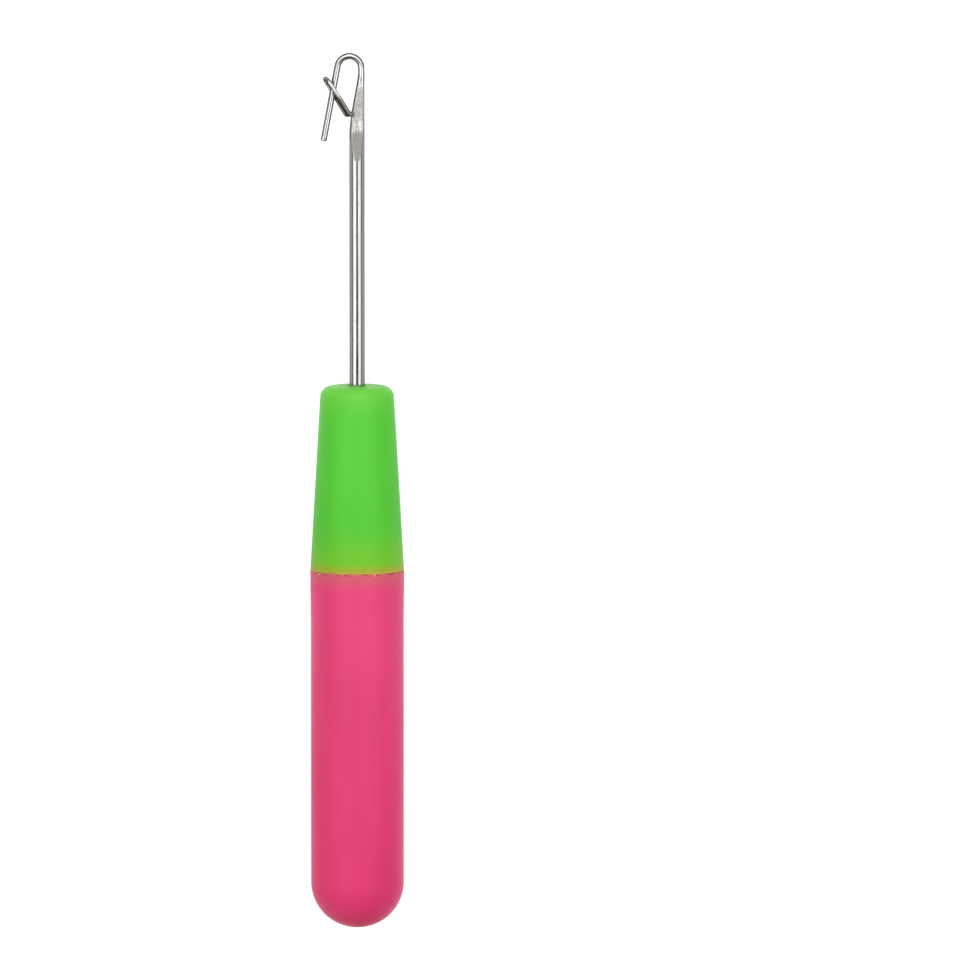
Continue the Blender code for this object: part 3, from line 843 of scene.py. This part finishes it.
def make_drawn_wire():
    """The group: the lines' depth and the pits' amount go in; shade, roughness and height come out."""
    tree, given, result = new_group(
        "drawn_wire",
        [("Line Depth", "NodeSocketFloat", 1.0), ("Pit Amount", "NodeSocketFloat", 1.0)],
        [("Shade", "NodeSocketFloat"), ("Roughness", "NodeSocketFloat"), ("Height", "NodeSocketFloat")],
    )
    lines = fine_noise(tree, (5200, 160, 5200), 5, 0.65)
    patches = fine_noise(tree, (900, 420, 900), 3, 0.6)
    cells = add_node(tree, "ShaderNodeTexVoronoi", Vector=placed(tree, (2100, 1300, 2100)), Scale=1)
    pit = fade(tree, cells.outputs["Distance"], 0.05, 0.22, 1.0, 0.0)
    pit = maths(tree, "MULTIPLY", pit, fade(tree, patches, 0.52, 0.66))
    pit = maths(tree, "MULTIPLY", pit, given["Pit Amount"])
    shade = fade(tree, lines, 0.25, 0.75, 0.88, 1.08)
    shade = maths(tree, "SUBTRACT", shade, maths(tree, "MULTIPLY", pit, PIT_DARKNESS))
    roughness = fade(tree, patches, 0.3, 0.7, 0.0, PATCH_DULLNESS)
    roughness = maths(tree, "ADD", roughness, maths(tree, "MULTIPLY", pit, PIT_DULLNESS))
    line_height = maths(tree, "MULTIPLY", lines, given["Line Depth"])
    tree.links.new(shade, result["Shade"])
    tree.links.new(roughness, result["Roughness"])
    tree.links.new(maths(tree, "SUBTRACT", line_height, pit), result["Height"])
    return tree


drawn_wire = make_drawn_wire()
print("drawn wire has", len(drawn_wire.nodes), "nodes")

# %% [markdown]
# ## The two plastics
# Both plastics are bright, a little see-through and satin, and colour bleeds through them where
# they meet. Nearly all of that depends only on the place along the handle, so smooth fades along Y
# set it. Each fade has a name and the two places, measured from the seam or from an end, between
# which it goes from nothing to all. That is easier to tune than a painted picture.

# %% Start a material
PLASTIC_GLOSS = 0.42
PLASTIC_SHINE = 0.12
SKIN_DEPTH = 0.004 * MM


def new_finish(name):
    """A material with nodes, its tree and its Principled shader."""
    material = bpy.data.materials.new(name)
    material.use_nodes = True
    tree = material.node_tree
    return material, tree, tree.nodes["Principled BSDF"]


def place_along(tree):
    """The place along the handle, from the piece's own coordinates."""
    place = tree.nodes.new("ShaderNodeTexCoord")
    return add_node(tree, "ShaderNodeSeparateXYZ", Vector=place.outputs["Object"]).outputs["Y"]


def fade_from(tree, y, place, stretch, low=0.0, high=1.0):
    """A fade along the handle between the two ends of a stretch, measured from a place."""
    return fade(tree, y, place + stretch[0], place + stretch[1], low, high)


def add_bump(tree, shader, height, distance):
    """Let a height shape the shader's surface."""
    bump = add_node(tree, "ShaderNodeBump", Height=height, Distance=distance)
    tree.links.new(bump.outputs["Normal"], shader.inputs["Normal"])


def add_skin(tree, shader, base, drift_share, speck):
    """Place the moulded skin in a plastic, over a base colour that may already vary."""
    skin = tree.nodes.new("ShaderNodeGroup")
    skin.node_tree = moulded_skin
    tree.links.new(base, skin.inputs["Colour"])
    tree.links.new(mixed(tree, 1.0, base, drift_share, "MULTIPLY"), skin.inputs["Drift Colour"])
    skin.inputs["Speck Colour"].default_value = speck
    skin.inputs["Gloss"].default_value = PLASTIC_GLOSS
    shader.inputs["Specular IOR Level"].default_value = PLASTIC_SHINE
    tree.links.new(skin.outputs["Colour"], shader.inputs["Base Color"])
    tree.links.new(skin.outputs["Roughness"], shader.inputs["Roughness"])
    add_bump(tree, shader, skin.outputs["Height"], SKIN_DEPTH)


print("plastics fade along Y, from the seam at", round(seam_y / MM, 2), "mm")

# %% [markdown]
# ### The pink plastic
# The pink is a little deeper towards the tail and deepest on the dome, where the light comes in
# flat. The last millimetres before the seam are warmer, and the lip itself is a thin orange line.
# The mould was closed against the cap there, so crumbs of flash sit along the seam: yellow flecks
# where the cap's plastic came through, and dark red nicks in the lip. Small cells scatter the
# flecks, and a fine noise breaks the nicks.

# %% The pink plastic
PINK_TAIL = colour(231, 62, 116)
PINK_FRONT = colour(239, 74, 128)
PINK_DOME = colour(206, 22, 74)
PINK_RIM = colour(221, 98, 115)
PINK_LIP = colour(206, 132, 96)
PINK_SPECK = colour(250, 150, 180)
PINK_DRIFT_SHARE = (0.93, 0.88, 0.92, 1)
NICK = colour(140, 40, 44)
FLECK = colour(246, 200, 120)
DOME_STRETCH = (3.0 * MM, 0)
RIM_STRETCH = (-2.6 * MM, -0.3 * MM)
LIP_STRETCH = (-0.22 * MM, -0.05 * MM)
NICK_STRETCH = (-0.34 * MM, -0.18 * MM)
FLECK_STRETCH = (-0.85 * MM, -0.60 * MM)
NICK_STRENGTH = 0.75
FLECK_STRENGTH = 0.8
FLECK_SIZE = 0.17


def add_seam_crumbs(tree, y, base):
    """Crumbs of flash along the seam: bright yellow flecks below it, and dark red nicks at the lip."""
    distance, chosen = scattered_cells(tree, (1200, 1200, 1))
    fleck = maths(tree, "LESS_THAN", distance, fade(tree, chosen, 0.60, 1.0, 0.0, FLECK_SIZE))
    fleck = maths(tree, "MULTIPLY", fleck, fade_from(tree, y, seam_y, FLECK_STRETCH))
    nick = fade(tree, fine_noise(tree, (1000, 2600, 1000), 3, 0.6), 0.50, 0.57)
    nick = maths(tree, "MULTIPLY", nick, fade_from(tree, y, seam_y, NICK_STRETCH))
    base = mixed(tree, maths(tree, "MULTIPLY", nick, NICK_STRENGTH), base, NICK)
    return mixed(tree, maths(tree, "MULTIPLY", fleck, FLECK_STRENGTH), base, FLECK)


def make_pink():
    """The grip's plastic, from the dome to the crumbs at the seam."""
    material, tree, shader = new_finish("pink_plastic")
    y = place_along(tree)
    base = mixed(tree, fade(tree, y, tail_y, seam_y), PINK_TAIL, PINK_FRONT)
    base = mixed(tree, fade_from(tree, y, tail_y, DOME_STRETCH), base, PINK_DOME)
    base = mixed(tree, fade_from(tree, y, seam_y, RIM_STRETCH), base, PINK_RIM)
    base = mixed(tree, fade_from(tree, y, seam_y, LIP_STRETCH), base, PINK_LIP)
    base = add_seam_crumbs(tree, y, base)
    add_skin(tree, shader, base, PINK_DRIFT_SHARE, PINK_SPECK)
    return material


grip.data.materials.append(make_pink())
print(grip.name, "is finished in", grip.data.materials[0].name)

# %% [markdown]
# ### The green plastic
# The cap's front is paler, because light enters there from ahead too. Towards the seam the green
# turns yellow, because the pink under it glows through, and it ends in a thin bright line. That
# line comes and goes round the cap, so a noise that is long along the handle breaks it.

# %% The green plastic
GREEN_BODY = colour(93, 208, 60)
GREEN_FRONT = colour(114, 214, 71)
GREEN_WARM = colour(122, 204, 46)
GREEN_LIP = colour(172, 180, 54)
GREEN_SPECK = colour(190, 240, 170)
GREEN_DRIFT_SHARE = (0.86, 0.93, 0.86, 1)
BRIGHT_LINE = colour(240, 192, 100)
FRONT_STRETCH = (-4.5 * MM, 0)
WARM_STRETCH = (6.5 * MM, 1.2 * MM)
GREEN_LIP_STRETCH = (1.5 * MM, 0.15 * MM)
BRIGHT_LINE_STRETCH = (0.18 * MM, 0.06 * MM)


def make_green():
    """The cap's plastic, from its pale front to the bright line at the seam."""
    material, tree, shader = new_finish("green_plastic")
    y = place_along(tree)
    base = mixed(tree, fade_from(tree, y, cap_front_y, FRONT_STRETCH), GREEN_BODY, GREEN_FRONT)
    base = mixed(tree, fade_from(tree, y, seam_y, WARM_STRETCH), base, GREEN_WARM)
    base = mixed(tree, fade_from(tree, y, seam_y, GREEN_LIP_STRETCH), base, GREEN_LIP)
    uneven = fade(tree, fine_noise(tree, (420, 90, 420), 4, 0.7), 0.35, 0.62, 0.15, 1.0)
    line = maths(tree, "MULTIPLY", uneven, fade_from(tree, y, seam_y, BRIGHT_LINE_STRETCH))
    base = mixed(tree, line, base, BRIGHT_LINE)
    add_skin(tree, shader, base, GREEN_DRIFT_SHARE, GREEN_SPECK)
    return material


front_cap.data.materials.append(make_green())
print(front_cap.name, "is finished in", front_cap.data.materials[0].name)

# %% [markdown]
# ## The steel
# The round parts of the needle are bright, with fine drawing lines. The press left the flats
# matte and mottled, which the pressed attribute brings in, with bright streaks where the blade is
# widest and a calmer, darker ramp behind them. Steel reflects less towards its rims than a mirror
# would, so the specular tint is dark: it draws the thin grey outline that polished wire shows on
# a white table. Places on the blade are measured from the hook's tip.

# %% The needle's steel
POLISHED = colour(146, 145, 142)
PRESSED = colour(159, 156, 152)
RAMP = colour(120, 118, 113)
NECK_HIGHLIGHT = colour(225, 224, 222)
RIM_TINT = (0.03, 0.03, 0.03, 1)
NECK_STRETCH = (-5.4 * MM, -3.8 * MM)
STREAKS_START_STRETCH = (-7.2 * MM, -8.4 * MM)
STREAKS_END_STRETCH = (-10.9 * MM, -10.2 * MM)
RAMP_STRETCH = (-10.2 * MM, -10.8 * MM)
CALM_STRETCH = (-10.2 * MM, -11.2 * MM)
CALM_SHARE = 0.35
NEEDLE_ROUGHNESS = 0.11
GRAIN_HEIGHT = 4.0
NEEDLE_RELIEF = 0.003 * MM


def place_wire(tree, line_depth, pit_amount):
    """Place the drawn wire group in a steel, with its own values."""
    wire = tree.nodes.new("ShaderNodeGroup")
    wire.node_tree = drawn_wire
    wire.inputs["Line Depth"].default_value = line_depth
    wire.inputs["Pit Amount"].default_value = pit_amount
    return wire.outputs


def finish_steel(tree, shader, roughness, height, relief):
    """What both steels share: metal with dark rims, its roughness and its relief."""
    tree.links.new(roughness, shader.inputs["Roughness"])
    add_bump(tree, shader, height, relief)
    shader.inputs["Metallic"].default_value = 1.0
    shader.inputs["Specular Tint"].default_value = RIM_TINT


def make_needle_steel():
    """The needle's steel: polished where it is round, mottled where it is pressed."""
    material, tree, shader = new_finish("needle_steel")
    pressed = noted_amount(tree, "pressed")
    y = place_along(tree)
    wire = place_wire(tree, 0.5, 1.0)
    mottle = fine_noise(tree, (4200, 3000, 4200), 4, 0.7)
    streak = fine_noise(tree, (3600, 330, 3600), 2, 0.5)
    flat = mixed(tree, fade_from(tree, y, tip_y, RAMP_STRETCH), PRESSED, RAMP)
    # Painted highlight: where the round wire runs into the flats near the neck, the flats are made nearly
    # white.
    flat = mixed(tree, fade_from(tree, y, tip_y, NECK_STRETCH), flat, NECK_HIGHLIGHT)
    liveliness = fade_from(tree, y, tip_y, CALM_STRETCH, 1.0, CALM_SHARE)
    spots = maths(tree, "MULTIPLY", fade(tree, mottle, 0.32, 0.68, -0.30, 0.25), liveliness)
    on_streaks = maths(
        tree, "MULTIPLY",
        fade_from(tree, y, tip_y, STREAKS_START_STRETCH), fade_from(tree, y, tip_y, STREAKS_END_STRETCH),
    )
    lines = maths(tree, "MULTIPLY", fade(tree, streak, 0.44, 0.66, -0.12, 0.32), on_streaks)
    shade = maths(tree, "MULTIPLY", maths(tree, "ADD", spots, 1.0), maths(tree, "ADD", lines, 1.0))
    flat_base = shaded(tree, flat, shade)
    # The tone paints a highlight along the top of the hook's wire and shade along its sides.
    tone = noted_amount(tree, "tone")
    round_base = shaded(tree, POLISHED, maths(tree, "MULTIPLY", wire["Shade"], tone))
    tree.links.new(mixed(tree, pressed, round_base, flat_base), shader.inputs["Base Color"])
    dullness_and_side_shade = maths(tree, "MULTIPLY", fade(tree, pressed, 0.0, 0.4), fade(tree, mottle, 0.3, 0.7, 0.40, 0.26))
    roughness = maths(tree, "ADD", maths(tree, "ADD", wire["Roughness"], NEEDLE_ROUGHNESS), dullness_and_side_shade)
    grain = maths(tree, "MULTIPLY", maths(tree, "MULTIPLY", mottle, pressed), GRAIN_HEIGHT)
    finish_steel(tree, shader, roughness, maths(tree, "ADD", wire["Height"], grain), NEEDLE_RELIEF)
    return material


needle.data.materials.clear()
needle.data.materials.append(make_needle_steel())
print(needle.name, "is finished in", needle.data.materials[0].name)

# %% [markdown]
# The latch's wire is the same steel in a thinner gauge, a little more pitted than the needle's.
# It has a painted highlight along its middle, where it passes the leg, is darker towards its hinge,
# and has painted shade, nearly black, in the slot between its strands.

# %% The latch's steel
LATCH_HINGE_COLOUR = colour(130, 124, 117)
LATCH_HIGHLIGHT = colour(190, 188, 183)
LATCH_END = colour(138, 136, 131)
SLOT_SHADE = colour(22, 18, 14)
SLOT_DULLNESS = 0.4
LATCH_HIGHLIGHT_STRETCH = (2.0 * MM, 2.8 * MM)
LATCH_END_STRETCH = (3.9 * MM, 4.6 * MM)
LATCH_ROUGHNESS = 0.13
LATCH_RELIEF = 0.004 * MM


def make_latch_steel():
    """The latch's steel: darker at its hinge, with a painted highlight along its middle, a dull end and
    painted shade in its slot.
    """
    material, tree, shader = new_finish("latch_steel")
    wire = place_wire(tree, 0.8, 1.4)
    facing = noted_amount(tree, "facing")
    # Painted shade: the sides of the two strands that face each other are made nearly black, as the slot
    # between them is in shadow.
    slot_shade = fade(tree, facing, 0.25, 0.60)
    y = place_along(tree)
    # Painted highlight: the link is made lighter along its middle, where it passes the leg, and darker
    # towards its hinge.
    metal = mixed(tree, fade_from(tree, y, latch_pivot.y, LATCH_HIGHLIGHT_STRETCH), LATCH_HINGE_COLOUR, LATCH_HIGHLIGHT)
    metal = mixed(tree, fade_from(tree, y, latch_pivot.y, LATCH_END_STRETCH), metal, LATCH_END)
    metal = shaded(tree, metal, wire["Shade"])
    tree.links.new(mixed(tree, slot_shade, metal, SLOT_SHADE), shader.inputs["Base Color"])
    roughness = maths(tree, "ADD", wire["Roughness"], maths(tree, "MULTIPLY", slot_shade, SLOT_DULLNESS))
    roughness = maths(tree, "ADD", roughness, LATCH_ROUGHNESS)
    finish_steel(tree, shader, roughness, wire["Height"], LATCH_RELIEF)
    return material


latch.data.materials.append(make_latch_steel())
print(latch.name, "is finished in", latch.data.materials[0].name)

# %% [markdown]
# ## The white table
# The photograph's ground is pure white. Turning up the lamps until a floor burns out would burn
# out the tool as well. Here the floor has an ordinary pale surface, which catches the tool's
# shadow, and only rays that come straight from the camera, off metal or through glass see a
# little of its own light on top. The world does the same above the horizon.

# %% Floor and world
FLOOR_SIZE = 8.0
FLOOR_COLOUR = (0.80, 0.80, 0.80, 1)
FLOOR_LIFT = 0.58
WORLD_LEVEL = 0.38


def seen_directly(tree):
    """1 for rays from the camera, from glossy surfaces and through glass, and 0 for the rest."""
    path = tree.nodes.new("ShaderNodeLightPath").outputs
    glossy = maths(tree, "MAXIMUM", path["Is Camera Ray"], path["Is Glossy Ray"])
    return maths(tree, "MAXIMUM", glossy, path["Is Transmission Ray"])


def make_floor():
    """The table: pale paper with a faint drift, a shadow, and a little light of its own."""
    material, tree, shader = new_finish("white_table")
    tone = fade(tree, fine_noise(tree, (40, 40, 40), 4, 0.5), 0.3, 0.7, 0.98, 1.02)
    tree.links.new(shaded(tree, FLOOR_COLOUR, tone), shader.inputs["Base Color"])
    shader.inputs["Roughness"].default_value = 0.9
    shader.inputs["Specular IOR Level"].default_value = 0.1
    shader.inputs["Emission Color"].default_value = (1, 1, 1, 1)
    lift = maths(tree, "MULTIPLY", seen_directly(tree), FLOOR_LIFT)
    tree.links.new(lift, shader.inputs["Emission Strength"])
    bpy.ops.mesh.primitive_plane_add(size=FLOOR_SIZE)
    floor = bpy.context.object
    floor.name = "floor"
    floor.data.materials.append(material)
    return floor


def make_world():
    """White above the horizon, brighter to whatever sees it directly."""
    world = bpy.data.worlds.new("white_room")
    world.use_nodes = True
    tree = world.node_tree
    background = tree.nodes["Background"]
    background.inputs["Color"].default_value = (1, 1, 1, 1)
    lift = maths(tree, "MULTIPLY", seen_directly(tree), 1 - WORLD_LEVEL)
    tree.links.new(maths(tree, "ADD", lift, WORLD_LEVEL), background.inputs["Strength"])
    scene.world = world


floor = make_floor()
make_world()
print("the floor is", floor.dimensions.x, "m wide and the world's level is", WORLD_LEVEL)

# %% [markdown]
# ## The lamps
# Polished wire shows its surroundings, so the lamps are chosen by what the wire reflects: a
# bright band on each side of the shaft, and a bright crescent round the hook. Each band is a soft
# box, and its angle from the camera is twice the angle at which the steel's surface turns away
# there. Both bands fade outwards, so a weaker box stands beside each strong one. The angles of the
# side boxes are in degrees from the camera, the left ones below zero.

# %% Light the table
LAMP_DISTANCE = 0.75
LAMP_BEHIND = -0.06
LAMP_LENGTH = 0.24
LAMP_LEVEL = 3.2
FILL_LEVEL = 1.8
TIP_LAMP_TILT = radians(42)
TIP_LAMP_SPREAD = radians(44)
TIP_LAMP_LENGTH = 0.30


def side_direction(angle):
    """The way from the tool to a place at an angle beside the camera."""
    return Vector((sin(angle), 0, cos(angle)))


def add_soft_box(name, direction, across, angles, length, level):
    """A soft box that spans an angle as the tool sees it; across is its sideways direction."""
    lamp = bpy.data.lights.new(name, "AREA")
    lamp.shape = "RECTANGLE"
    lamp.size = 2 * LAMP_DISTANCE * tan(angles / 2)
    lamp.size_y = length
    lamp.energy = level * pi * lamp.size * lamp.size_y
    box = bpy.data.objects.new(name, lamp)
    box.location = Vector((0, LAMP_BEHIND, axis_z)) + direction * LAMP_DISTANCE
    box.rotation_euler = turned_towards(direction, across)
    box.visible_camera = False
    scene.collection.objects.link(box)
    print(name, "is", round(lamp.size, 2), "by", lamp.size_y, "m, with", round(lamp.energy, 2), "W")


def add_side_box(name, start, end, level):
    """A soft box beside the tool, between two angles from the camera."""
    middle = radians(start + end) / 2
    across = Vector((cos(middle), 0, -sin(middle)))
    add_soft_box(name, side_direction(middle), across, radians(end - start), LAMP_LENGTH, level)


add_side_box("left_soft_box", -46, -12, LAMP_LEVEL)
add_side_box("left_fill_box", -62, -47, FILL_LEVEL)
add_side_box("right_soft_box", 13, 38, LAMP_LEVEL)
add_side_box("right_fill_box", 39, 64, FILL_LEVEL)
tip_direction = Vector((0, sin(TIP_LAMP_TILT), cos(TIP_LAMP_TILT)))
tip_across = Vector((0, cos(TIP_LAMP_TILT), -sin(TIP_LAMP_TILT)))
add_soft_box("tip_soft_box", tip_direction, tip_across, TIP_LAMP_SPREAD, TIP_LAMP_LENGTH, LAMP_LEVEL)

# %% [markdown]
# The dark parts of a reflection need something dark to show. A black card beside the camera gives
# the thin line along the middle of the shaft, and a grey collar round the table, below the lamps,
# gives the wire its grey outline. Two white cards past the tip carry the bright crescent round the
# hook's bend. Only reflections see them, so they neither shade nor light the tool.

# %% The cards and the collar
CARD_ANGLE = radians(4)
CARD_SPREAD = radians(22)
REAR_CARD_SPREAD = radians(48)
CARD_DISTANCE = 0.70
CARD_PAST_CAMERA = 0.03
REAR_CARD_BEHIND = -0.045
CARD_LENGTH = 0.90
WHITE_CARD_TILT = radians(32)
WHITE_CARD_TURN = radians(42)
WHITE_CARD_SIZE = (0.42, 0.44)
WHITE_CARD_LEVEL = 3.2
COLLAR_RADIUS = 0.72
COLLAR_BOTTOM = 0.03
COLLAR_TOP = 0.46
COLLAR_LEVEL = 0.40
COLLAR_SIDES = 64


def seen_only_in_reflections(thing, name, level):
    """Make a card or collar that gives off an even light and shows to glossy rays alone."""
    for kind in ("camera", "diffuse", "transmission", "volume_scatter", "shadow"):
        setattr(thing, "visible_" + kind, False)
    material, tree, shader = new_finish(name)
    shader.inputs["Base Color"].default_value = (0.01, 0.01, 0.01, 1)
    shader.inputs["Roughness"].default_value = 1.0
    shader.inputs["Specular IOR Level"].default_value = 0.0
    shader.inputs["Emission Color"].default_value = (1, 1, 1, 1)
    shader.inputs["Emission Strength"].default_value = level
    thing.name = name
    thing.data.materials.append(material)


def add_card(name, place, back, across, size, level):
    """A flat card that faces the tool; across is its sideways direction."""
    bpy.ops.mesh.primitive_plane_add(size=1)
    card = bpy.context.object
    card.location = place
    card.rotation_euler = turned_towards(back, across)
    card.scale = (*size, 1)
    seen_only_in_reflections(card, name, level)


def add_dark_card(name, front_y, spread):
    """A black card beside the camera, from a place along the tool backwards."""
    back = side_direction(CARD_ANGLE)
    place = Vector((0, front_y - CARD_LENGTH / 2, axis_z)) + back * CARD_DISTANCE
    across = Vector((cos(CARD_ANGLE), 0, -sin(CARD_ANGLE)))
    add_card(name, place, back, across, (2 * CARD_DISTANCE * tan(spread / 2), CARD_LENGTH), 0)


def add_white_card(name, turn):
    """A white card past the tip, turned about the tool from straight beside it."""
    outward = Vector((cos(turn), sin(turn), 0))
    back = outward * sin(WHITE_CARD_TILT) + Vector((0, 0, cos(WHITE_CARD_TILT)))
    place = Vector((0, tip_y, axis_z)) + back * LAMP_DISTANCE
    add_card(name, place, back, Vector((-sin(turn), cos(turn), 0)), WHITE_CARD_SIZE, WHITE_CARD_LEVEL)


def add_collar():
    """An open cylinder round the table."""
    height = COLLAR_TOP - COLLAR_BOTTOM
    bpy.ops.mesh.primitive_cylinder_add(
        vertices=COLLAR_SIDES, radius=COLLAR_RADIUS, depth=height, end_fill_type="NOTHING",
        location=(0, 0, COLLAR_BOTTOM + height / 2),
    )
    seen_only_in_reflections(bpy.context.object, "grey_collar", COLLAR_LEVEL)


add_dark_card("dark_card", CARD_PAST_CAMERA, CARD_SPREAD)
add_dark_card("rear_dark_card", REAR_CARD_BEHIND, REAR_CARD_SPREAD)
add_white_card("right_white_card", WHITE_CARD_TURN)
add_white_card("left_white_card", pi - WHITE_CARD_TURN)
add_collar()
print("the cards and the collar are seen only in reflections")
